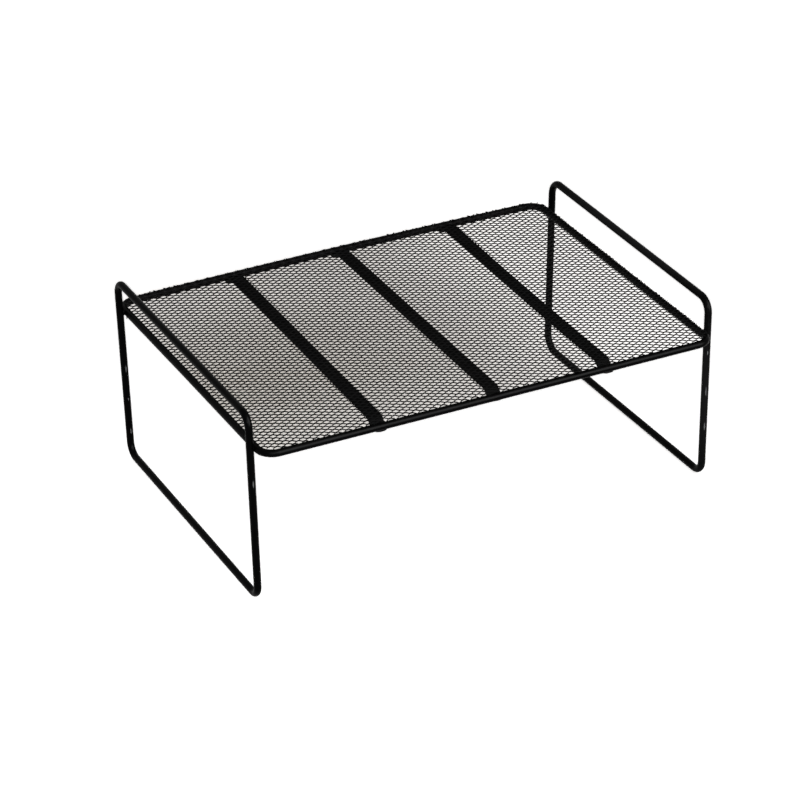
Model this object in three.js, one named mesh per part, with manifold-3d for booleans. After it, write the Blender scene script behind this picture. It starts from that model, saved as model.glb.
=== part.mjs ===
// Cabinet shelf: a mesh deck in a bent rod frame, carried by two upright wire loops.
// Millimetres, +Z up, +X along the shelf, -Y to the front.
// The origin is on the floor, under the middle of the deck.
import * as THREE from 'three';
import { mergeVertices } from 'three/addons/utils/BufferGeometryUtils.js';
import Module from 'manifold-3d';

// Deck frame: one round rod bent to a rectangle, measured at the centre of the rod
const deckLength = 400;
const deckDepth = 294;
const deckHeight = 138;
const deckBend = 13;
const deckRod = 6;

// End loops: each is one closed loop of round rod, standing outside an end of the deck frame
const railRise = 32; // from the middle of the deck rod to the top of a loop
const loopBend = 12;
const loopRod = 6;
const legSetback = 3; // from the end of the deck frame's bend to the middle of a leg
const loopLean = 1.5; // how far in a loop's floor rail stands from its legs at the deck

// Mesh panel: a flat net of diamond gaps with a closed rim over the deck rod
const meshThickness = 1;
const meshReach = 0.5; // past the middle of the deck rod
const strandWidth = 3.6;
const gapColumns = 10;
const gapRows = 13;

// Straps: flat steel under the mesh, stepped down at both ends to pass under the deck rod
const strapPlaces = ['left', 'centre', 'right'];
const strapPitch = 101;
const strapShift = 3; // of the middle strap, to the right
const strapSlant = 1.8; // how far to the right the back half of a strap runs
const strapWidth = 12.5;
const strapThickness = 1.2;
const strapEndRound = 5;
const strapReach = 1.1; // past the middle of the deck rod
const stepLength = 10;
const stepClearance = 0.8; // between the foot of the step and the side of the deck rod

// Welds: a bead round each crossing of a leg and the deck rod
const weldToe = 1.45; // how far the bead runs past the leg, along the deck rod
const weldInset = 0.15; // how far the bead stays inside the height of the deck rod
const weldThickness = 4.6;

// Clearances
const seatGap = 0.1; // between pieces that rest on each other
const weldGap = 0.3; // round a weld bead, which is cut by both rods
const spare = 1; // how far a cutting shape runs past what it cuts

// Finish: black powder coat, smoother on the rods than on the flat pieces and the beads
const coatColour = 0x141415;
const coatMetalness = 0.1;
const rodRoughness = 0.42;
const flatRoughness = 0.5;
const beadRoughness = 0.55;

// Facets
const quarterSides = 3; // sides in a quarter of a rod's section
const bendSteps = 8;
const stepSteps = 10;
const roundSteps = 6;
const beadSides = 20;
const beadRings = 14;

// Places that follow from the sizes
const deckRadius = deckRod / 2;
const deckTop = deckHeight + deckRadius;
const meshBottom = deckTop + seatGap;
const meshLength = deckLength + 2 * meshReach;
const meshDepth = deckDepth + 2 * meshReach;
const strapHighTop = meshBottom - seatGap;
const strapLowTop = deckHeight - deckRadius - seatGap;
const loopRadius = loopRod / 2;
const loopHeight = deckHeight + railRise;
const loopX = deckLength / 2 + deckRadius + seatGap + loopRadius;
const legY = deckDepth / 2 - deckBend - legSetback;
const weldX = deckLength / 2 + deckRadius + seatGap / 2;
const weldLength = loopRod + 2 * weldToe;
const weldHeight = deckRod - 2 * weldInset;
const sides = [['left', -1], ['right', 1]];
const ends = [['front', -1], ['back', 1]];

// Stands a shape up that was drawn flat: its own X then runs along Y, and its own Y runs up
const upright = new THREE.Matrix4().makeBasis(
  new THREE.Vector3(0, 1, 0),
  new THREE.Vector3(0, 0, 1),
  new THREE.Vector3(1, 0, 0),
);

const wasm = await Module();
wasm.setup();

// A closed geometry as a solid that can be cut and joined
function toSolid(geometry) {
  geometry.deleteAttribute('normal');
  geometry.deleteAttribute('uv');
  const merged = mergeVertices(geometry);
  return new wasm.Manifold(new wasm.Mesh({
    numProp: 3,
    vertProperties: new Float32Array(merged.attributes.position.array),
    triVerts: new Uint32Array(merged.index.array),
  }));
}

// A solid back as a geometry
function toGeometry(solid) {
  const mesh = solid.getMesh();
  const geometry = new THREE.BufferGeometry();
  geometry.setAttribute('position', new THREE.BufferAttribute(new Float32Array(mesh.vertProperties), 3));
  geometry.setIndex(new THREE.BufferAttribute(new Uint32Array(mesh.triVerts), 1));
  geometry.computeVertexNormals();
  return geometry;
}

// An outline drawn out straight along its own Z, from z = 0
function drawnOut(outline, depth) {
  return new THREE.ExtrudeGeometry(outline, { depth, bevelEnabled: false });
}

// Corners of a round rod's section, as a polygon with flat sides up, down, in and out
function rodSection(diameter) {
  const count = 4 * quarterSides;
  const cornerRadius = diameter / 2 / Math.cos(Math.PI / count);
  const corners = [];
  for (let i = 0; i < count; i += 1) {
    const angle = ((i + 0.5) / count) * 2 * Math.PI;
    corners.push(new THREE.Vector2(cornerRadius * Math.cos(angle), cornerRadius * Math.sin(angle)));
  }
  return corners;
}

// Stations round a rectangle with round corners, each a point and the direction that faces out
function roundedStations(width, height, round, steps) {
  const stations = [];
  for (let corner = 0; corner < 4; corner += 1) {
    const signX = corner === 0 || corner === 3 ? 1 : -1;
    const signY = corner < 2 ? 1 : -1;
    const centre = new THREE.Vector2(signX * (width / 2 - round), signY * (height / 2 - round));
    for (let i = 0; i <= steps; i += 1) {
      const angle = ((corner + i / steps) * Math.PI) / 2;
      const out = new THREE.Vector2(Math.cos(angle), Math.sin(angle));
      stations.push({ point: centre.clone().addScaledVector(out, round), out });
    }
  }
  return stations;
}

// A rod bent once round a rectangle with round corners, in its own XY plane
function closedRod(width, height, bend, diameter) {
  const stations = roundedStations(width, height, bend, bendSteps);
  const section = rodSection(diameter);
  const positions = [];
  for (const { point, out } of stations) {
    for (const corner of section) {
      positions.push(point.x + out.x * corner.x, point.y + out.y * corner.x, corner.y);
    }
  }
  const index = [];
  for (let ring = 0; ring < stations.length; ring += 1) {
    const here = ring * section.length;
    const next = ((ring + 1) % stations.length) * section.length;
    for (let side = 0; side < section.length; side += 1) {
      const after = (side + 1) % section.length;
      index.push(here + side, next + side, next + after);
      index.push(here + side, next + after, here + after);
    }
  }
  const geometry = new THREE.BufferGeometry();
  geometry.setAttribute('position', new THREE.Float32BufferAttribute(positions, 3));
  geometry.setIndex(index);
  geometry.computeVertexNormals();
  return geometry;
}

// Outline of a plate with round corners
function plateShape(width, height, round, steps) {
  return new THREE.Shape(roundedStations(width, height, round, steps).map(({ point }) => point));
}

// One diamond gap. Where its middle lies on the rim, only the half inside the rim is cut.
function diamondGap(x, y, halfLong, halfShort, inward) {
  const tips = [[halfLong, 0], [0, halfShort], [-halfLong, 0], [0, -halfShort]];
  const kept = tips.filter(([dx, dy]) => dx * inward.x + dy * inward.y >= 0);
  return new THREE.Shape(kept.map(([dx, dy]) => new THREE.Vector2(x + dx, y + dy)));
}

// The net: two sets of diamonds, the second shifted by half a gap each way, as expanded metal opens
function meshGeometry() {
  const limitX = (deckLength - deckRod) / 2;
  const limitY = (deckDepth - deckRod) / 2;
  const pitchX = (2 * limitX) / gapColumns;
  const pitchY = (2 * limitY) / gapRows;
  const strandPitch = (pitchX * pitchY) / Math.hypot(pitchX, pitchY);
  const openShare = 1 - strandWidth / strandPitch;
  const halfLong = (pitchX / 2) * openShare;
  const halfShort = (pitchY / 2) * openShare;
  const gaps = [];
  const whole = new THREE.Vector2(0, 0);
  for (let column = 0; column < gapColumns; column += 1) {
    for (let row = 0; row < gapRows; row += 1) {
      const x = -limitX + (column + 0.5) * pitchX;
      const y = -limitY + (row + 0.5) * pitchY;
      gaps.push(diamondGap(x, y, halfLong, halfShort, whole));
    }
  }
  for (let column = 0; column <= gapColumns; column += 1) {
    for (let row = 0; row <= gapRows; row += 1) {
      const inwardX = (column === 0 ? 1 : 0) - (column === gapColumns ? 1 : 0);
      const inwardY = (row === 0 ? 1 : 0) - (row === gapRows ? 1 : 0);
      if (inwardX !== 0 && inwardY !== 0) continue; // the rim's round corners stay closed
      const x = -limitX + column * pitchX;
      const y = -limitY + row * pitchY;
      gaps.push(diamondGap(x, y, halfLong, halfShort, new THREE.Vector2(inwardX, inwardY)));
    }
  }
  const outline = plateShape(meshLength, meshDepth, deckBend + meshReach, bendSteps);
  const sheet = drawnOut(outline, meshThickness);
  const cuts = drawnOut(gaps, meshThickness + 2 * spare).translate(0, 0, -spare);
  return toGeometry(toSolid(sheet).subtract(toSolid(cuts)));
}

// Side view of a strap, as [y, z]: high under the mesh, low under the rod at both ends
function strapProfile(endY) {
  const half = strapThickness / 2;
  const footY = deckDepth / 2 - deckRadius - stepClearance;
  const headY = footY - stepLength;
  const middleY = (footY + headY) / 2;
  const lowZ = strapLowTop - half;
  const highZ = strapHighTop - half;
  const step = new THREE.CubicBezierCurve(
    new THREE.Vector2(footY, lowZ),
    new THREE.Vector2(middleY, lowZ),
    new THREE.Vector2(middleY, highZ),
    new THREE.Vector2(headY, highZ),
  );
  const upper = [new THREE.Vector2(endY, lowZ + half)];
  const lower = [new THREE.Vector2(endY, lowZ - half)];
  for (let i = 0; i <= stepSteps; i += 1) {
    const point = step.getPoint(i / stepSteps);
    const along = step.getTangent(i / stepSteps);
    const up = new THREE.Vector2(along.y, -along.x);
    upper.push(point.clone().addScaledVector(up, half));
    lower.push(point.clone().addScaledVector(up, -half));
  }
  const mirrored = (points) => points.map((p) => new THREE.Vector2(-p.x, p.y)).reverse();
  const top = [...upper, ...mirrored(upper)];
  const bottom = [...lower, ...mirrored(lower)];
  return new THREE.Shape([...top, ...bottom.reverse()]);
}

// A strap about x = 0: its side view drawn out across its width, then trimmed to round ends
function strapGeometry() {
  const endY = deckDepth / 2 + strapReach;
  const drawnWidth = strapWidth + 2 * spare;
  const drawn = drawnOut(strapProfile(endY + spare), drawnWidth);
  drawn.translate(0, 0, -drawnWidth / 2).applyMatrix4(upright);
  const round = Math.min(strapEndRound, strapWidth / 2);
  const planDepth = strapHighTop - strapLowTop + strapThickness + 2 * spare;
  const plan = drawnOut(plateShape(strapWidth, 2 * endY, round, roundSteps), planDepth);
  plan.translate(0, 0, strapLowTop - strapThickness - spare);
  return toGeometry(toSolid(drawn).intersect(toSolid(plan)));
}

// A straight length of rod about the origin, along its own Z, grown by the gap that a weld keeps
function weldCutter(diameter) {
  const length = weldLength + weldHeight;
  const section = new THREE.Shape(rodSection(diameter + 2 * weldGap));
  return drawnOut(section, length).translate(0, 0, -length / 2);
}

// The bead at the crossing of a leg and the right end rod, about the point where they meet
function weldGeometry() {
  const bead = new THREE.SphereGeometry(0.5, beadSides, beadRings);
  bead.scale(weldThickness, weldLength, weldHeight);
  const leg = weldCutter(loopRod).translate(loopX - weldX, 0, 0);
  const endRod = weldCutter(deckRod).rotateX(Math.PI / 2).translate(deckLength / 2 - weldX, 0, 0);
  return toGeometry(toSolid(bead).subtract(toSolid(leg)).subtract(toSolid(endRod)));
}

const shelf = new THREE.Group();

function addPiece(name, geometry, roughness) {
  const coat = new THREE.MeshStandardMaterial({ color: coatColour, metalness: coatMetalness, roughness });
  const piece = new THREE.Mesh(geometry, coat);
  piece.name = name;
  shelf.add(piece);
  return piece;
}

// Deck: frame, mesh and straps
const frame = addPiece('deck_frame', closedRod(deckLength, deckDepth, deckBend, deckRod), rodRoughness);
frame.position.z = deckHeight;

const mesh = addPiece('mesh_panel', meshGeometry(), flatRoughness);
mesh.position.z = meshBottom;

strapPlaces.forEach((place, i) => {
  const strap = addPiece(`strap_${place}`, strapGeometry(), flatRoughness);
  strap.position.x = strapShift + strapPitch * (i - (strapPlaces.length - 1) / 2);
  strap.rotation.z = -Math.atan2(strapSlant, deckDepth / 2);
});

// End loops, and the welds where their legs cross the end rods
for (const [side, signX] of sides) {
  const wire = closedRod(2 * legY, loopHeight - loopRod, loopBend, loopRod).applyMatrix4(upright);
  const lean = new THREE.Matrix4().makeShear(0, 0, 0, 0, (signX * loopLean) / deckHeight, 0);
  wire.translate(0, 0, loopHeight / 2 - deckHeight).applyMatrix4(lean);
  const loop = addPiece(`end_loop_${side}`, wire, rodRoughness);
  loop.position.set(signX * loopX, 0, deckHeight);

  for (const [end, signY] of ends) {
    const bead = weldGeometry();
    if (signX < 0) bead.rotateZ(Math.PI);
    const weld = addPiece(`weld_${end}_${side}`, bead, beadRoughness);
    weld.position.set(signX * weldX, signY * legY, deckHeight);
  }
}

export default shelf;
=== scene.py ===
import math

import bmesh
import bpy
from mathutils import Matrix, Vector, noise


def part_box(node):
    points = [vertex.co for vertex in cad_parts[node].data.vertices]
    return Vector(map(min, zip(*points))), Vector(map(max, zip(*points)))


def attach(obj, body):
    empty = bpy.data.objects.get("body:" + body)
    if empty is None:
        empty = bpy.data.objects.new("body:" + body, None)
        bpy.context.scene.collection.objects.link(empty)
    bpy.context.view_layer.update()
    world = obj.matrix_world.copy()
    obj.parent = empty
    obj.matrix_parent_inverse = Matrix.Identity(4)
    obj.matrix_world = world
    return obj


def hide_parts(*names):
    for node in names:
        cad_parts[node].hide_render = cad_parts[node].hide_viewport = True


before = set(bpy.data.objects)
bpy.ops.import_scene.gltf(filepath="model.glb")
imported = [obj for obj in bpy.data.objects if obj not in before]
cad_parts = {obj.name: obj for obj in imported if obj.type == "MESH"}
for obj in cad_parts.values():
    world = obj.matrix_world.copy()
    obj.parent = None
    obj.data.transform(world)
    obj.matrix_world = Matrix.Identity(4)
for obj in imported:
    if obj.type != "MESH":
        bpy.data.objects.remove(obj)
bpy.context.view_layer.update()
mm = 0.001
body = "root"
deckLow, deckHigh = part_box("deck_frame")
deckLevel = (deckHigh.z + deckLow.z) / 2
bareRadius = (deckHigh.z - deckLow.z) / 2
coatThickness = 0.1 * mm
rodRadius = bareRadius + coatThickness
halfLength = deckHigh.x - bareRadius  # to the middle of the rod
halfDepth = deckHigh.y - bareRadius
print("frame loaded with", len(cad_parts), "CAD nodes")


# camera, at the photograph's viewing angle

cameraValues = {
    "azimuth": 26.190,  # degrees to the left of straight in front
    "elevation": 28.830,
    "roll": -1.057,
    "focalPixels": 3182.5,
    "framePixels": 800,
    "sensor": 36,
    "distance": 2657.3 * mm,
    "target": (0, 0, 80 * mm),
    "offset": (10.229 * mm, -13.957 * mm),  # of the target from the picture's middle, right and down
}


def lookingFrom(azimuth, elevation):
    level = math.cos(elevation)
    return Vector((math.sin(azimuth) * level, math.cos(azimuth) * level, -math.sin(elevation)))


def makeCamera():
    v = cameraValues
    azimuth, elevation, roll = (math.radians(v[k]) for k in ("azimuth", "elevation", "roll"))
    forward = lookingFrom(azimuth, elevation)
    flatRight = Vector((math.cos(azimuth), -math.sin(azimuth), 0))
    flatDown = forward.cross(flatRight)
    right = flatRight * math.cos(roll) - flatDown * math.sin(roll)
    down = flatRight * math.sin(roll) + flatDown * math.cos(roll)
    offX, offY = v["offset"]
    place = Vector(v["target"]) - right * offX - down * offY - forward * v["distance"]
    lens = bpy.data.cameras.new("photoCamera")
    lens.sensor_width = v["sensor"]
    lens.lens = v["focalPixels"] / v["framePixels"] * v["sensor"]
    camera = bpy.data.objects.new("photoCamera", lens)
    axes = Matrix((right, -down, -forward)).transposed().to_4x4()
    camera.matrix_world = Matrix.Translation(place) @ axes
    bpy.context.scene.collection.objects.link(camera)
    bpy.context.scene.camera = camera
    return camera


camera = makeCamera()
print("camera placed")


# how this deck has settled: its back rod bows out, its front left corner is splayed and it is twisted

deckValues = {
    "bend": 13 * mm,  # at the middle of the rod
    "bow": 2.8 * mm,
    "splay": 0.7 * mm,
    "twist": 0.6 * mm,  # rise of the front left and back right corners
}


def settled(x, y, z):
    v = deckValues
    along, deep = x / halfLength, y / halfDepth
    splay = v["splay"] * max(-along, 0) * max(-deep, 0)
    bow = v["bow"] * (1 - along ** 2) * max(deep, 0) ** 2
    return Vector((x - splay, y + bow, z + v["twist"] * along * deep))


# node helpers

def addNode(tree, kind, **values):
    node = tree.nodes.new(kind)
    for name, value in values.items():
        setattr(node, name, value)
    return node


def link(tree, source, target):
    tree.links.new(source, target)


def plug(tree, socket, value):  # a link from another node, or a plain number or vector
    if hasattr(value, "is_output"):
        link(tree, value, socket)
    else:
        socket.default_value = value


def newGroup(name, inputs, outputs):
    group = bpy.data.node_groups.new(name, "ShaderNodeTree")
    for label, default in inputs.items():
        socket = group.interface.new_socket(name=label, in_out="INPUT", socket_type="NodeSocketFloat")
        socket.default_value = default
    for label in outputs:
        group.interface.new_socket(name=label, in_out="OUTPUT", socket_type="NodeSocketFloat")
    return group, group.nodes.new("NodeGroupInput"), group.nodes.new("NodeGroupOutput")


def noiseFrom(tree, place, scale, detail, roughness=0.5):
    texture = addNode(tree, "ShaderNodeTexNoise")
    texture.inputs["Detail"].default_value = detail
    texture.inputs["Roughness"].default_value = roughness
    link(tree, place, texture.inputs["Vector"])
    plug(tree, texture.inputs["Scale"], scale)
    return texture.outputs["Fac"]


def remap(tree, value, fromLow, fromHigh, toLow=0.0, toHigh=1.0, smooth=False):
    node = addNode(tree, "ShaderNodeMapRange", interpolation_type="SMOOTHSTEP" if smooth else "LINEAR")
    limits = {"From Min": fromLow, "From Max": fromHigh, "To Min": toLow, "To Max": toHigh}
    for label, number in limits.items():
        node.inputs[label].default_value = number
    link(tree, value, node.inputs["Value"])
    return node.outputs["Result"]


def maths(tree, operation, first, second):
    node = addNode(tree, "ShaderNodeMath", operation=operation)
    plug(tree, node.inputs[0], first)
    plug(tree, node.inputs[1], second)
    return node.outputs[0]


def vectorMaths(tree, operation, first, second=None):
    node = addNode(tree, "ShaderNodeVectorMath", operation=operation)
    plug(tree, node.inputs[0], first)
    if second is not None:
        plug(tree, node.inputs[1], second)
    return node.outputs["Value" if operation == "LENGTH" else "Vector"]


def objectPlace(tree):
    return addNode(tree, "ShaderNodeTexCoord").outputs["Object"]


# powder coat: orange peel, fine grain and a slow change in sheen

coatGroupValues = {
    "inputs": {"Peel Scale": 700, "Grain Scale": 4200, "Mottle Scale": 45, "Grain Share": 0.3},
    "peelDetail": 2,
    "grainDetail": 3,
    "mottleDetail": 4,
    "mottleRoughness": 0.6,
    "mottleRange": (0.35, 0.65),  # of the noise, spread from none to full
}


def makeCoatGroup():
    v = coatGroupValues
    group, given, made = newGroup("powderCoat", v["inputs"], ["Height", "Mottle"])
    place = objectPlace(group)
    peel = noiseFrom(group, place, given.outputs["Peel Scale"], v["peelDetail"])
    grain = noiseFrom(group, place, given.outputs["Grain Scale"], v["grainDetail"])
    mottleScale = given.outputs["Mottle Scale"]
    mottle = noiseFrom(group, place, mottleScale, v["mottleDetail"], v["mottleRoughness"])
    shared = maths(group, "MULTIPLY", grain, given.outputs["Grain Share"])
    link(group, maths(group, "ADD", peel, shared), made.inputs["Height"])
    link(group, remap(group, mottle, *v["mottleRange"]), made.inputs["Mottle"])
    return group


# dust that settles on what faces up

dustGroupValues = {
    "inputs": {"Amount": 0.1, "Patch Scale": 30},
    "upRange": (0.3, 1.0),  # of the upward part of the way a face looks, from clean to dusty
    "patchDetail": 5,
    "patchRoughness": 0.65,
    "patchRange": (0.35, 0.7),
}


def makeDustGroup():
    v = dustGroupValues
    group, given, made = newGroup("settledDust", v["inputs"], ["Dust"])
    facing = addNode(group, "ShaderNodeSeparateXYZ")
    link(group, addNode(group, "ShaderNodeNewGeometry").outputs["Normal"], facing.inputs[0])
    upward = remap(group, facing.outputs["Z"], *v["upRange"], smooth=True)
    place = objectPlace(group)
    patchScale = given.outputs["Patch Scale"]
    cloud = noiseFrom(group, place, patchScale, v["patchDetail"], v["patchRoughness"])
    amount = maths(group, "MULTIPLY", upward, given.outputs["Amount"])
    patches = remap(group, cloud, *v["patchRange"])
    link(group, maths(group, "MULTIPLY", amount, patches), made.inputs["Dust"])
    return group


coatGroup = makeCoatGroup()
dustGroup = makeDustGroup()


def placeGroup(tree, group, values):
    node = addNode(tree, "ShaderNodeGroup", node_tree=group)
    for label, number in values.items():
        node.inputs[label].default_value = number
    return node


def mixColours(tree, share, first, second):
    node = addNode(tree, "ShaderNodeMix", data_type="RGBA")
    colours = [socket for socket in node.inputs if socket.type == "RGBA"]
    for socket, value in zip(colours, (first, second)):
        plug(tree, socket, value if hasattr(value, "is_output") else (*value, 1))
    link(tree, share, node.inputs[0])
    return next(socket for socket in node.outputs if socket.type == "RGBA")


def makeCoat(name, v, paintedLightMarks=None):
    material = bpy.data.materials.new(name)
    material.use_nodes = True
    tree = material.node_tree
    shader = tree.nodes["Principled BSDF"]
    shader.inputs["Specular IOR Level"].default_value = v["shine"]
    coat = placeGroup(tree, coatGroup, v["coat"])
    dust = placeGroup(tree, dustGroup, v["dust"])
    tone = mixColours(tree, coat.outputs["Mottle"], v["dark"], v["light"])
    tone = mixColours(tree, dust.outputs["Dust"], tone, v["dustColour"])
    # painted glints and painted light, mixed into the base colour
    if paintedLightMarks:
        paintedLightNode = placeGroup(tree, paintedLightMarks, {"Strength": v["paintedLightStrength"]})
        tone = mixColours(tree, paintedLightNode.outputs["Mark"], tone, v["paintedLightColour"])
    link(tree, tone, shader.inputs["Base Color"])
    low, high = v["roughness"]
    link(tree, remap(tree, coat.outputs["Mottle"], 0, 1, low, high), shader.inputs["Roughness"])
    bump = addNode(tree, "ShaderNodeBump")
    bump.inputs["Strength"].default_value = v["bump"]
    bump.inputs["Distance"].default_value = v["bumpDepth"]
    link(tree, coat.outputs["Height"], bump.inputs["Height"])
    link(tree, bump.outputs["Normal"], shader.inputs["Normal"])
    return material


# a finished piece: its mesh, coat and body, and the CAD node it stands for, which is hidden

def addPiece(name, points, faces, coat, node, sharpAngle=40):
    mesh = bpy.data.meshes.new(name)
    mesh.from_pydata(points, [], faces)
    work = bmesh.new()
    work.from_mesh(mesh)
    bmesh.ops.recalc_face_normals(work, faces=work.faces)
    work.to_mesh(mesh)
    work.free()
    mesh.polygons.foreach_set("use_smooth", [True] * len(mesh.polygons))
    mesh.set_sharp_from_angle(angle=math.radians(sharpAngle))
    mesh.materials.append(coat)
    mesh.update()
    piece = bpy.data.objects.new(name, mesh)
    bpy.context.scene.collection.objects.link(piece)
    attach(piece, body)
    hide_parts(node)
    return piece


def ringFaces(rings, count, closed=True):  # quads between rings of points, each with the same count
    faces = []
    for ring in range(rings if closed else rings - 1):
        here, there = ring * count, (ring + 1) % rings * count
        for i in range(count):
            j = (i + 1) % count
            faces.append((here + i, there + i, there + j, here + j))
    return faces


# rods: a round section carried once round a rectangle with round corners

rodValues = {
    "sides": 28,
    "bendSteps": 16,
    "straightSteps": 24,
}
loopBends = {  # in mm: back top, front top, front foot, back foot
    "left": (12, 11, 10.5, 11),
    "right": (13, 11.8, 11, 14),
}
legValues = {  # in mm: how far out at the floor and at the deck, and the lift of the foot and of the top
    "left": {"front": (204, 205.5, 0, -0.25), "back": (203.8, 205.9, 0, 0.95)},
    "right": {"front": (204, 205.5, 1.2, -1.25), "back": (202.3, 205.5, 0, 0.5)},
}
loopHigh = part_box("end_loop_left")[1]
legY = loopHigh.y - bareRadius
outward = {"left": -1, "right": 1}
rodCoatValues = {
    "dark": (0.0003, 0.0003, 0.0004),
    "light": (0.0006, 0.0006, 0.0007),
    "dustColour": (0.06, 0.055, 0.05),
    # colour and strength of the painted glints and painted light
    "paintedLightColour": (0.13, 0.13, 0.135),
    "paintedLightStrength": 0.85,
    "roughness": (0.3, 0.36),
    "shine": 0.012,
    "bump": 0.25,
    "bumpDepth": 0.15 * mm,
    "coat": {"Peel Scale": 700, "Grain Scale": 4200, "Mottle Scale": 45, "Grain Share": 0.3},
    "dust": {"Amount": 0.03, "Patch Scale": 40},
}
# painted glints: lighter streaks on the front of the legs, in mm: side, end (back is 1), shift, and the
# height and length of each
paintedGlintValues = {
    "leftBack": ("left", 1, 0.2, [(85.1, 8.2), (56.1, 3), (25.4, 6)]),
    "leftFront": ("left", -1, 0, [(108, 8)]),
    "rightFront": ("right", -1, -0.7, [(119.8, 5.4), (83.3, 11), (50.2, 8.8)]),
}
# painted light: where the right-hand parts are made lighter all round, as if lit more from that side, in mm:
# side, y and z of its middle, and half its length along each
paintedSideLightValues = {
    "rightFrontLeg": ("right", -legY / mm, 80, 16, 110),
    "rightRail": ("right", 0, 168, 150, 8),
}
paintedLightValues = {
    "width": 1.1 * mm,
    "raggedLength": 1.5 * mm,
    "raggedDetail": 3,
    "ragged": 0.5,
    "edge": 0.5,  # share of a painted glint's half size at which it starts to fade
    "sideLightEdge": 0.2,
    "sideLightWidth": 4 * rodRadius,
    "sideLightShare": 0.045,
}


def between(first, second, share):
    return first + (second - first) * share


def legPlace(side, y, z):  # how far out the middle of a loop's rod is, and how far it is lifted
    ends = zip(legValues[side]["front"], legValues[side]["back"])
    toBack = (y / legY + 1) / 2
    footX, deckX, footLift, topLift = (between(front, back, toBack) * mm for front, back in ends)
    return between(footX, deckX, z / deckLevel), between(footLift, topLift, z / loopHigh.z)


def onLoop(side, across, y, z):
    out, lift = legPlace(side, y, z)
    return Vector((outward[side] * out + across, y, z + lift))


# painted light on the rods: glints on the legs, and right-hand parts made lighter
def makeMarkGroup():
    v = paintedLightValues
    group, given, made = newGroup("rubMarks", {"Strength": rodCoatValues["paintedLightStrength"]}, ["Mark"])
    place = objectPlace(group)
    cloud = noiseFrom(group, place, 1 / v["raggedLength"], v["raggedDetail"])
    ragged = remap(group, cloud, 0, 1, -v["ragged"], v["ragged"])

    def paintedPatch(centre, halfSizes, edge):  # 1 in the middle of a painted glint or patch of painted light, 0 outside its ragged edge
        away = vectorMaths(group, "SUBTRACT", place, centre)
        away = vectorMaths(group, "LENGTH", vectorMaths(group, "DIVIDE", away, halfSizes))
        return remap(group, maths(group, "ADD", away, ragged), edge, 1, 1, 0, smooth=True)

    total = 0
    for side, end, shift, paintedLightMarks in paintedGlintValues.values():
        for height, length in paintedLightMarks:
            centre = onLoop(side, shift * mm, end * legY - rodRadius, height * mm)
            glint = paintedPatch(centre, (v["width"] / 2, v["width"], length * mm / 2), v["edge"])
            total = maths(group, "MAXIMUM", total, glint)
    for side, y, z, halfDeep, halfHigh in paintedSideLightValues.values():
        halfSizes = (v["sideLightWidth"], halfDeep * mm, halfHigh * mm)
        sideLight = paintedPatch(onLoop(side, 0, y * mm, z * mm), halfSizes, v["sideLightEdge"])
        total = maths(group, "MAXIMUM", total, maths(group, "MULTIPLY", sideLight, v["sideLightShare"]))
    link(group, maths(group, "MULTIPLY", total, given.outputs["Strength"]), made.inputs["Mark"])
    return group


rodCoat = makeCoat("rodCoat", rodCoatValues, makeMarkGroup())


def roundedStations(width, height, bends):  # points round a rectangle, each with the way out
    bendSteps, straightSteps = rodValues["bendSteps"], rodValues["straightSteps"]
    signs = [(1, 1), (-1, 1), (-1, -1), (1, -1)]
    centres = [Vector((x * (width / 2 - b), y * (height / 2 - b))) for (x, y), b in zip(signs, bends)]
    stations = []
    for corner, (centre, bend) in enumerate(zip(centres, bends)):
        for i in range(bendSteps + 1):
            angle = (corner + i / bendSteps) * math.pi / 2
            out = Vector((math.cos(angle), math.sin(angle)))
            stations.append((centre + out * bend, out))
        following = (corner + 1) % 4
        start, end = centre + out * bend, centres[following] + out * bends[following]
        for i in range(1, straightSteps):
            stations.append((start.lerp(end, i / straightSteps), out))
    return stations


def sweptRod(stations, toPlace):
    sides = rodValues["sides"]
    points = []
    for point, out in stations:
        for i in range(sides):
            angle = 2 * math.pi * i / sides
            flat = point + out * (rodRadius * math.cos(angle))
            points.append(toPlace(flat.x, flat.y, rodRadius * math.sin(angle)))
    return points, ringFaces(len(stations), sides)


def makeDeckRod():
    stations = roundedStations(2 * halfLength, 2 * halfDepth, [deckValues["bend"]] * 4)
    points, faces = sweptRod(stations, lambda x, y, z: settled(x, y, deckLevel + z))
    addPiece("deckRod", points, faces, rodCoat, "deck_frame")


def makeLoop(side):
    bends = [bend * mm for bend in loopBends[side]]
    stations = roundedStations(2 * legY, loopHigh.z - 2 * rodRadius, bends)
    points, faces = sweptRod(stations, lambda y, z, x: onLoop(side, x, y, loopHigh.z / 2 + z))
    addPiece("loop" + side.capitalize(), points, faces, rodCoat, "end_loop_" + side)


makeDeckRod()
for side in outward:
    makeLoop(side)
print("rods bent")


# straps: flat steel under the mesh, stepped down at both ends to pass under the deck rod

strapValues = {
    "width": 12.5 * mm,
    "thickness": 1.2 * mm,
    "edgeRound": 0.3 * mm,
    "edgeSteps": 3,
    "endRound": 5 * mm,
    "endSteps": 8,
    "backReach": 4.6 * mm,  # of the back end, past the middle of the deck rod
    "backStep": 6 * mm,  # length of the step down at the back
    "frontStep": 10 * mm,
    "stepSteps": 14,
    "clearance": 0.8 * mm,  # between the foot of the step and the deck rod
    "seat": 0.1 * mm,  # between a strap's end and the rod above it
    "longSteps": 40,
    "samePlace": 1e-6,  # stations nearer than this are one
    "sharpAngle": 50,
}
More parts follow.
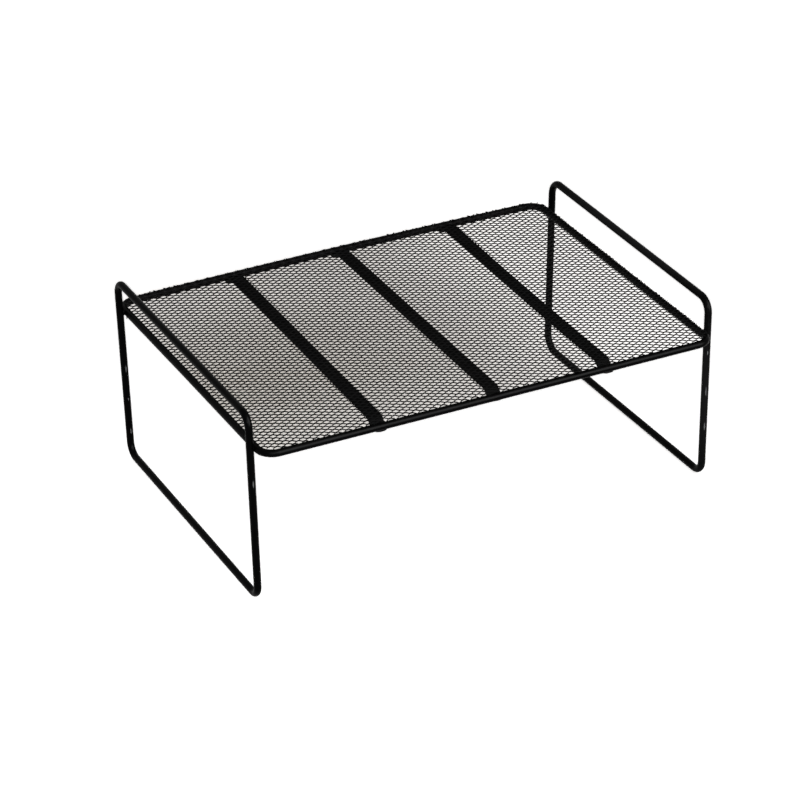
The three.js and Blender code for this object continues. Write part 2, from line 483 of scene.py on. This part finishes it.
# in mm: shift to the right of a whole strap, of its back end and of both ends, and its front's reach
strapLines = {
    "left": (0.1, 2.2, 0, 1),
    "centre": (0.3, 0.9, 0, -0.6),
    "right": (0.4, 2.3, 1.3, 0.8),
}
strapCoatValues = {
    "dark": (0.002, 0.002, 0.0021),
    "light": (0.003, 0.003, 0.0032),
    "dustColour": (0.06, 0.055, 0.05),
    "roughness": (0.48, 0.6),
    "shine": 0.01,
    "bump": 0.25,
    "bumpDepth": 0.12 * mm,
    "coat": {"Peel Scale": 600, "Grain Scale": 3800, "Mottle Scale": 50, "Grain Share": 0.35},
    "dust": {"Amount": 0.03, "Patch Scale": 35},
}
strapCoat = makeCoat("strapCoat", strapCoatValues)


def strapStations(reach, stepLength):  # side view of half a strap, inward: y, z, tilt and half width
    v = strapValues
    half, wide = v["thickness"] / 2, v["width"] / 2
    lowZ = deckLow.z - v["seat"] - half
    highZ = deckHigh.z - half
    endY = halfDepth + reach
    footY = halfDepth - rodRadius - v["clearance"]
    headY = footY - stepLength
    stations = []
    for i in range(v["endSteps"] + 1):
        angle = math.pi / 2 * i / v["endSteps"]
        inward = v["endRound"] * (1 - math.cos(angle))
        stations.append((endY - inward, lowZ, 0, wide - v["endRound"] * (1 - math.sin(angle))))
    for i in range(v["stepSteps"] + 1):
        t = i / v["stepSteps"]
        rise = t * t * (3 - 2 * t)
        slope = 6 * t * (1 - t) * (highZ - lowZ) / stepLength
        z = lowZ + rise * (highZ - lowZ)
        stations.append((footY - t * stepLength, z, math.atan(slope), wide))
    for i in range(1, v["longSteps"] + 1):
        stations.append((headY * (1 - i / v["longSteps"]), highZ, 0, wide))
    apart = v["samePlace"]
    return [s for i, s in enumerate(stations) if i == 0 or s[0] < stations[i - 1][0] - apart]


def strapSection(wide):  # across and up, with round edges
    v = strapValues
    half, edge = v["thickness"] / 2, v["edgeRound"]
    section = []
    for corner, (signX, signZ) in enumerate([(1, 1), (-1, 1), (-1, -1), (1, -1)]):
        for i in range(v["edgeSteps"] + 1):
            angle = (corner + i / v["edgeSteps"]) * math.pi / 2
            across = signX * (wide - edge) + edge * math.cos(angle)
            section.append((across, signZ * (half - edge) + edge * math.sin(angle)))
    return section


def makeStrap(place):
    low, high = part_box("strap_" + place)
    shift, slant, bow, reach = (value * mm for value in strapLines[place])
    front = strapStations(reach, strapValues["frontStep"])[-2::-1]
    stations = strapStations(strapValues["backReach"], strapValues["backStep"])
    stations += [(-y, z, -tilt, wide) for y, z, tilt, wide in front]
    points = []
    for y, z, tilt, wide in stations:
        deep = y / halfDepth
        middle = (low.x + high.x) / 2 + shift + slant * deep + bow * deep ** 2
        for across, up in strapSection(wide):
            x = middle + across
            points.append(settled(x, y + up * math.sin(tilt), z + up * math.cos(tilt)))
    count = len(points) // len(stations)
    faces = ringFaces(len(stations), count, closed=False)
    faces += [tuple(range(count)), tuple(range(len(points) - count, len(points)))]
    name = "strap" + place.capitalize()
    sharpAngle = strapValues["sharpAngle"]
    addPiece(name, points, faces, strapCoat, "strap_" + place, sharpAngle)


for place in strapLines:
    makeStrap(place)
print("straps laid")


# welds: a hollow fillet round each crossing of a leg and the deck rod

weldValues = {
    "gap": 1.5 * mm,  # the fillet ends where the rods are this far apart
    "hollow": 0.45 * mm,
    "sunk": 0.3 * mm,
    "steps": 48,
    "across": 7,
    "halvings": 30,  # in the search for the end of the fillet
    "lumps": 0.15 * mm,
    "lumpLength": 1.6 * mm,
    "dripAt": ("left", "back"),
    "dripPlace": (-2 * mm, -5.3 * mm, -1.6 * mm),  # from the middle of the crossing
    "dripLength": 3.1 * mm,
    "dripRadius": 0.5 * mm,
    "dripTip": 0.02,  # how blunt its tip is
    "dripSteps": 6,
    "dripSides": 10,
}
weldCoatValues = {
    "dark": (0.0007, 0.0007, 0.0008),
    "light": (0.0012, 0.0012, 0.0013),
    "dustColour": (0.06, 0.055, 0.05),
    "roughness": (0.4, 0.5),
    "shine": 0.01,
    "bump": 0.35,
    "bumpDepth": 0.2 * mm,
    "coat": {"Peel Scale": 900, "Grain Scale": 3600, "Mottle Scale": 120, "Grain Share": 0.4},
    "dust": {"Amount": 0.02, "Patch Scale": 60},
}
weldCoat = makeCoat("weldCoat", weldCoatValues)


def sag(away):  # how far a rod's side falls back from its crown, this far from it
    return rodRadius - math.sqrt(max(rodRadius ** 2 - away ** 2, 0))


def filletReach(angle, apart):  # how far from the crossing the rods have parted to the fillet's gap
    near, far = 0.0, 2 * rodRadius
    for _ in range(weldValues["halvings"]):
        middle = (near + far) / 2
        gap = apart + sag(middle * math.cos(angle)) + sag(middle * math.sin(angle))
        near, far = (middle, far) if gap < weldValues["gap"] else (near, middle)
    return near


def addDrip(points, faces, centre):  # a bead of spatter that hangs from the deck rod
    v = weldValues
    sides, steps = v["dripSides"], v["dripSteps"]
    first = len(points)
    for step in range(steps + 1):
        share = step / steps
        middle = centre + Vector(v["dripPlace"]) - Vector((0, 0, share * v["dripLength"]))
        radius = v["dripRadius"] * math.sqrt(1 + v["dripTip"] - share ** 2)
        for i in range(sides):
            angle = 2 * math.pi * i / sides
            points.append(middle + Vector((radius * math.cos(angle), radius * math.sin(angle), 0)))
    faces.extend([tuple(first + i for i in face) for face in ringFaces(steps + 1, sides, closed=False)])
    faces.append(tuple(range(first, first + sides)))
    faces.append(tuple(range(len(points) - sides, len(points))))


def makeWeld(side, end, signY):
    v = weldValues
    sign = outward[side]
    centre = settled(sign * halfLength, signY * legY, deckLevel)
    legX = legPlace(side, signY * legY, deckLevel)[0] - halfLength
    rodFace, legFace = rodRadius, legX - rodRadius  # crowns, outward from the middle of the deck rod
    points = []
    for step in range(v["steps"]):
        angle = 2 * math.pi * step / v["steps"]
        reach = filletReach(angle, legFace - rodFace)
        onRod = rodFace - sag(reach * math.sin(angle))
        onLeg = legFace + sag(reach * math.cos(angle))
        section = [(onRod - v["sunk"], reach)]
        for i in range(v["across"] + 1):
            share = i / v["across"]
            inward = v["hollow"] * 4 * share * (1 - share)
            section.append((between(onRod, onLeg, share), reach - inward))
        section += [(onLeg + v["sunk"], reach), ((rodFace + legFace) / 2, reach / 2)]
        for out, away in section:
            spot = centre + Vector((sign * out, away * math.cos(angle), away * math.sin(angle)))
            lump = noise.noise(spot / v["lumpLength"]) * v["lumps"]
            points.append(spot + Vector((0, lump * math.cos(angle), lump * math.sin(angle))))
    faces = ringFaces(v["steps"], len(section))
    if (side, end) == v["dripAt"]:
        addDrip(points, faces, centre)
    name = "weld" + end.capitalize() + side.capitalize()
    addPiece(name, points, faces, weldCoat, f"weld_{end}_{side}")


for end, signY in (("front", -1), ("back", 1)):
    for side in outward:
        makeWeld(side, end, signY)
print("welds filled")


# mesh: one sheet of expanded metal, its strands standing on edge and its rim cut over the rod

meshValues = {
    "longWay": 9.2 * mm,  # pitch of the diamonds along the shelf
    "shortWay": 5.2 * mm,  # pitch from front to back
    "strand": 0.85 * mm,
    "sheet": 0.8 * mm,
    "knuckle": 1.2 * mm,  # length of the solid joint between four strands
    "lean": -50,  # degrees that a strand stands out of the sheet, its front edge up
    "rowTilt": -0.012,  # how far the rows run to the back, for each length to the right
    "rowBow": 3.8 * mm,  # and how far both their ends are bent to the front
    "ragged": 0.3 * mm,  # how far cut ends differ
    "raggedSeed": (0.71, 0.37, 5.3),  # which of them are longer
    "halvings": 14,  # in the search for the cut edge
    "shortest": 0.02,  # share of a strand that is left at least, where it is cut
    "wander": 0.6 * mm,  # slow drift of the rows within the sheet
    "wave": 0.35 * mm,  # slow rise of the sheet inside its rim
    "waveLength": 70 * mm,
    "calmRim": 25 * mm,  # the drift fades out this near the edge
    "trim": 0.3 * mm,  # how far inside the CAD sheet's outline it is cut
    "shift": (0.6 * mm, -0.85 * mm),  # of the cut outline, to the right and to the back
}
meshCoatValues = {
    "dark": (0.0015, 0.0015, 0.0016),
    "light": (0.0025, 0.0025, 0.0026),
    "dustColour": (0.06, 0.055, 0.05),
    "roughness": (0.45, 0.58),
    "shine": 0.01,
    "bump": 0.2,
    "bumpDepth": 0.08 * mm,
    "coat": {"Peel Scale": 1500, "Grain Scale": 6000, "Mottle Scale": 60, "Grain Share": 0.3},
    "dust": {"Amount": 0.03, "Patch Scale": 30},
}
meshLow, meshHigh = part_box("mesh_panel")
meshRound = deckValues["bend"] + meshHigh.x - halfLength


def outlineDistance(p):  # from the cut edge of the sheet, below zero inside it
    shiftX, shiftY = meshValues["shift"]
    overX = abs(p.x - shiftX) - (meshHigh.x - meshRound)
    overY = abs(p.y - shiftY) - (meshHigh.y - meshRound)
    over = math.hypot(max(overX, 0), max(overY, 0)) + min(max(overX, overY), 0)
    return over - meshRound + meshValues["trim"]


def drifted(p):
    v = meshValues
    calm = min(1, max(0, -outlineDistance(p) / v["calmRim"]))
    pull = noise.noise_vector(p / v["waveLength"])
    drift = Vector((pull.x * v["wander"], pull.y * v["wander"], (0.5 + 0.5 * pull.z) * v["wave"]))
    return p + drift * calm


def corner(side, row, level):  # index of a knuckle's corner: two sides, three rows, under and over
    return (side + 1) // 2 * 6 + (row + 1) * 2 + (level + 1) // 2


def knuckleMiddle(i, j):
    v = meshValues
    x = i * v["longWay"] / 2
    y = j * v["shortWay"] / 2 + v["rowTilt"] * x - v["rowBow"] * (x / halfLength) ** 2
    return Vector((x, y, 0))


def knuckleCorners(i, j):
    v = meshValues
    lean = math.radians(v["lean"])
    across = Vector((0, math.cos(lean), math.sin(lean))) * v["strand"]
    up = Vector((0, -math.sin(lean), math.cos(lean))) * (v["sheet"] / 2)
    halfHigh = abs(across.z) + abs(up.z)
    centre = drifted(knuckleMiddle(i, j) + Vector((0, 0, meshLow.z + halfHigh)))
    return [
        centre + Vector((side * v["knuckle"] / 2, 0, 0)) + across * row + up * level
        for side in (-1, 1) for row in (-1, 0, 1) for level in (-1, 1)
    ]


def knuckleFaces(first):
    faces = []
    for row in (-1, 0):
        for level in (1, -1):
            ring = [(-1, row), (1, row), (1, row + 1), (-1, row + 1)]
            faces.append([first + corner(side, r, level) for side, r in ring])
    for row in (-1, 1):
        ring = [(-1, -1), (1, -1), (1, 1), (-1, 1)]
        faces.append([first + corner(side, row, level) for side, level in ring])
    return faces


def cutPoint(start, end, jitter):  # where a strand meets the cut edge of the sheet
    near, far = 0.0, 1.0
    for _ in range(meshValues["halvings"]):
        half = (near + far) / 2
        near, far = (half, far) if outlineDistance(start.lerp(end, half)) < jitter else (near, half)
    return start.lerp(end, max(near, meshValues["shortest"]))


def makeMesh():
    v = meshValues
    countX = int(2 * meshHigh.x / v["longWay"]) + 1
    countY = int(2 * (meshHigh.y + 2 * v["rowBow"]) / v["shortWay"]) + 1
    kept = []
    for i in range(-countX, countX + 1):
        for j in range(-countY, countY + 1):
            if (i + j) % 2 == 0 and outlineDistance(knuckleMiddle(i, j)) < -v["knuckle"] / 2:
                kept.append((i, j))
    points, faces, firstOf = [], [], {}
    for i, j in kept:
        firstOf[i, j] = len(points)
        points.extend(knuckleCorners(i, j))
        faces.extend(knuckleFaces(firstOf[i, j]))

    def addStrand(i, j, side, rise):
        other = (i + side, j + rise)
        startRows, endRows = ((0, 1), (-1, 0)) if rise > 0 else ((-1, 0), (0, 1))
        start = [firstOf[i, j] + corner(side, row, level) for row in startRows for level in (-1, 1)]
        ends = [corner(-side, row, level) for row in endRows for level in (-1, 1)]
        if other in firstOf:
            end = [firstOf[other] + k for k in ends]
        else:
            seedX, seedY, seedZ = v["raggedSeed"]
            chance = noise.cell(Vector((i * seedX + side, j * seedY + rise, seedZ)))
            jitter = (chance - 0.5) * 2 * v["ragged"]
            beyond = knuckleCorners(*other)
            end = list(range(len(points), len(points) + 4))
            points.extend([cutPoint(points[s], beyond[k], jitter) for s, k in zip(start, ends)])
            faces.append([end[k] for k in (0, 2, 3, 1)])
        for k, n in ((0, 2), (2, 3), (3, 1), (1, 0)):  # round the strand
            faces.append((start[k], end[k], end[n], start[n]))

    for i, j in kept:
        for side in (-1, 1):
            addStrand(i, j, side, 1)
            if (i + side, j - 1) not in firstOf:
                addStrand(i, j, side, -1)
    points = [settled(*p) for p in points]
    meshCoat = makeCoat("meshCoat", meshCoatValues)
    addPiece("meshSheet", points, faces, meshCoat, "mesh_panel")
    print("mesh has", len(kept), "knuckles and", len(faces), "faces")


makeMesh()


# floor and light

stageValues = {
    "floorHalf": 6,
    "floorColour": (0.9, 0.89, 0.88),
    "glow": (0.54, 0.54, 0.54),  # the floor's own white, seen by the camera and in reflections
    "glowFar": (1, 1, 1),  # the same far off, where less of the key light falls
    "far": (0.45, 1.5),  # where the one turns into the other, from the middle of the floor
    "paintedShadowGlow": (0.46, 0.44, 0.42),  # the same, lowered to a painted shadow behind the deck
    "paintedShadowDeepest": (0.23, 0.205, 0.17),  # and where the painted shadow is deepest
    # middle and reach of the deepest painted shadow
    "paintedShadowMiddle": (-68 * mm, 205 * mm, 0),
    "paintedShadowReach": (300 * mm, 190 * mm, 1),
    "paintedShadowRightBay": (0.9, 0.885, 0.865),  # and behind its right bay, where the painted shadow lifts nearly to white
    "paintedShadowLift": (120 * mm, 290 * mm),  # where the painted shadow lifts
    "paintedShadowEdge": (-4 * mm, 9 * mm),  # where the painted shadow ends, from the deck's outline
    "paintedContactShadowReach": 8 * mm,  # how far from a rail a painted contact shadow darkens the floor's glow
    "paintedContactShadowSamples": 8,
    "paintedContactShadowOpen": (0.05, 0.4),  # open share of the view up at which the painted contact shadow leaves the floor dark and white
    "worldStrength": 0.22,
}
keyValues = {
    "power": 71,
    "across": 30 * mm,
    "behindCamera": 20 * mm,
}
sheenValues = {  # a wide lamp that shows in reflections only
    "strength": 18,
    "across": 50,  # degrees
    "azimuth": -26,
    "elevation": 32,
}


def seenBy(tree):  # camera, mirror and see-through rays
    path = addNode(tree, "ShaderNodeLightPath")
    rays = [path.outputs[name] for name in ("Is Camera Ray", "Is Glossy Ray", "Is Transmission Ray")]
    return maths(tree, "MAXIMUM", maths(tree, "MAXIMUM", rays[0], rays[1]), rays[2])


def floorGlowWithPaintedShadow(tree):  # white, with a painted shadow where the camera sees the floor through the deck
    v = stageValues
    eye = camera.matrix_world.translation
    spread = eye.z / (eye.z - deckHigh.z)
    bend = deckValues["bend"]
    place = objectPlace(tree)
    away = vectorMaths(tree, "SUBTRACT", place, (eye.x * (1 - spread), eye.y * (1 - spread), 0))
    straight = (spread * (halfLength - bend), spread * (halfDepth - bend), 0)
    away = vectorMaths(tree, "SUBTRACT", vectorMaths(tree, "ABSOLUTE", away), straight)
    away = vectorMaths(tree, "LENGTH", vectorMaths(tree, "MAXIMUM", away, (0, 0, 0)))
    outside = remap(tree, away, *[spread * bend + edge for edge in v["paintedShadowEdge"]], smooth=True)
    parts = addNode(tree, "ShaderNodeSeparateXYZ")
    link(tree, place, parts.inputs[0])
    rightward = remap(tree, parts.outputs["X"], *v["paintedShadowLift"], smooth=True)
    apart = vectorMaths(tree, "SUBTRACT", place, v["paintedShadowMiddle"])
    apart = vectorMaths(tree, "LENGTH", vectorMaths(tree, "DIVIDE", apart, v["paintedShadowReach"]))
    paintedShadow = mixColours(tree, remap(tree, apart, 0, 1, smooth=True), v["paintedShadowDeepest"], v["paintedShadowGlow"])
    paintedShadow = mixColours(tree, rightward, paintedShadow, v["paintedShadowRightBay"])
    farOff = remap(tree, vectorMaths(tree, "LENGTH", place), *v["far"])
    return mixColours(tree, outside, paintedShadow, mixColours(tree, farOff, v["glow"], v["glowFar"]))


def makeFloor():
    v = stageValues
    half = v["floorHalf"]
    mesh = bpy.data.meshes.new("studioFloor")
    corners = [(-half, -half, 0), (half, -half, 0), (half, half, 0), (-half, half, 0)]
    mesh.from_pydata(corners, [], [(0, 1, 2, 3)])
    material = bpy.data.materials.new("studioFloor")
    material.use_nodes = True
    tree = material.node_tree
    tree.nodes.clear()
    diffuse = addNode(tree, "ShaderNodeBsdfDiffuse")
    diffuse.inputs["Color"].default_value = (*v["floorColour"], 1)
    paintedContactShadow = addNode(tree, "ShaderNodeAmbientOcclusion", samples=v["paintedContactShadowSamples"])
    paintedContactShadow.inputs["Distance"].default_value = v["paintedContactShadowReach"]
    glow = addNode(tree, "ShaderNodeEmission")
    link(tree, floorGlowWithPaintedShadow(tree), glow.inputs["Color"])
    # painted contact shadow: the floor's glow is cut where little of the view up is open, near the rails
    unshadedShare = remap(tree, paintedContactShadow.outputs["AO"], *v["paintedContactShadowOpen"])
    link(tree, maths(tree, "MULTIPLY", seenBy(tree), unshadedShare), glow.inputs["Strength"])
    both = addNode(tree, "ShaderNodeAddShader")
    link(tree, diffuse.outputs[0], both.inputs[0])
    link(tree, glow.outputs[0], both.inputs[1])
    oneSided = addNode(tree, "ShaderNodeMixShader")  # see-through from below
    link(tree, addNode(tree, "ShaderNodeNewGeometry").outputs["Backfacing"], oneSided.inputs[0])
    link(tree, both.outputs[0], oneSided.inputs[1])
    link(tree, addNode(tree, "ShaderNodeBsdfTransparent").outputs[0], oneSided.inputs[2])
    link(tree, oneSided.outputs[0], addNode(tree, "ShaderNodeOutputMaterial").inputs["Surface"])
    mesh.materials.append(material)
    floor = bpy.data.objects.new("studioFloor", mesh)
    bpy.context.scene.collection.objects.link(floor)


def makeWorld():
    world = bpy.data.worlds.new("studioWorld")
    bpy.context.scene.world = world
    world.use_nodes = True
    tree = world.node_tree
    background = tree.nodes["Background"]
    background.inputs["Color"].default_value = (1, 1, 1, 1)
    strength = remap(tree, seenBy(tree), 0, 1, stageValues["worldStrength"], 1)
    link(tree, strength, background.inputs["Strength"])


def makeKey():  # just behind the camera, so that the shelf hides its own shadow
    v = keyValues
    lamp = bpy.data.lights.new("keyLight", "AREA")
    lamp.shape = "DISK"
    lamp.size = v["across"]
    lamp.energy = v["power"]
    holder = bpy.data.objects.new("keyLight", lamp)
    holder.matrix_world = camera.matrix_world @ Matrix.Translation((0, 0, v["behindCamera"]))
    holder.visible_camera = False
    bpy.context.scene.collection.objects.link(holder)


def makeSheen():
    v = sheenValues
    lamp = bpy.data.lights.new("sheenLight", "SUN")
    lamp.energy = v["strength"]
    lamp.angle = math.radians(v["across"])
    holder = bpy.data.objects.new("sheenLight", lamp)
    shining = lookingFrom(math.radians(v["azimuth"]), math.radians(v["elevation"]))
    holder.rotation_euler = shining.to_track_quat("-Z", "Y").to_euler()
    holder.visible_diffuse = False
    bpy.context.scene.collection.objects.link(holder)


makeFloor()
makeWorld()
makeKey()
makeSheen()
bpy.context.scene.view_settings.view_transform = "Standard"
print("floor and light set")
